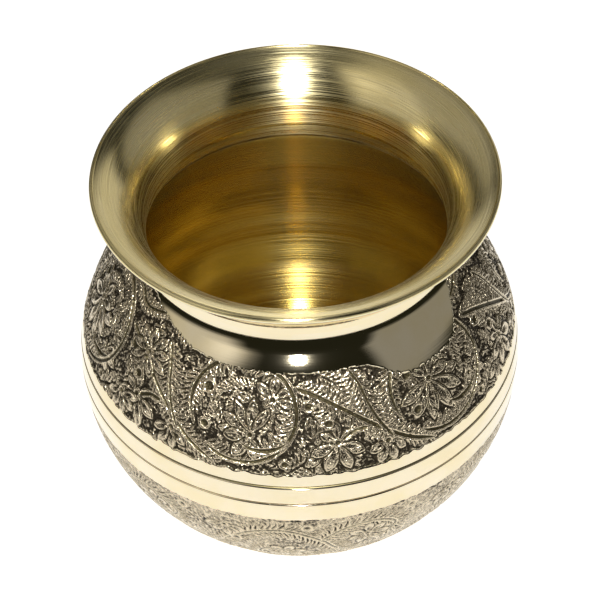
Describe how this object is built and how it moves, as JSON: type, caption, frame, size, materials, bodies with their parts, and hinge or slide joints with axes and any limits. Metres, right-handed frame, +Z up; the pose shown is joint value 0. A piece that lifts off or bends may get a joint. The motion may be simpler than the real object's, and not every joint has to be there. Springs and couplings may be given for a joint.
{
  "type": "lota water pot",
  "caption": "Round-bellied brass water pot with a short hollow-curved neck, a wide trumpet mouth, a low foot ring and floral chasing on the body.",
  "frame": {"origin": "centre of the foot ring's underside, on the surface that the pot stands on", "axes": "+Z up along the pot's axis of revolution; X and Y are free, because the pot is round"},
  "size_m": [0.1076, 0.1076, 0.1033],
  "materials": {
    "polished_brass": "lathe-brushed and polished",
    "chased_brass": "chased with dark patina in the recesses, polished between",
    "braze": "dull braze line"
  },
  "bodies": {
    "root": {"neck_collar": "polished_brass", "shoulder_shell": "chased_brass", "lower_bowl": "chased_brass", "foot_ring": "polished_brass", "neck_braze": "braze", "belly_braze": "braze", "foot_braze": "braze"}
  },
  "joints": []
}
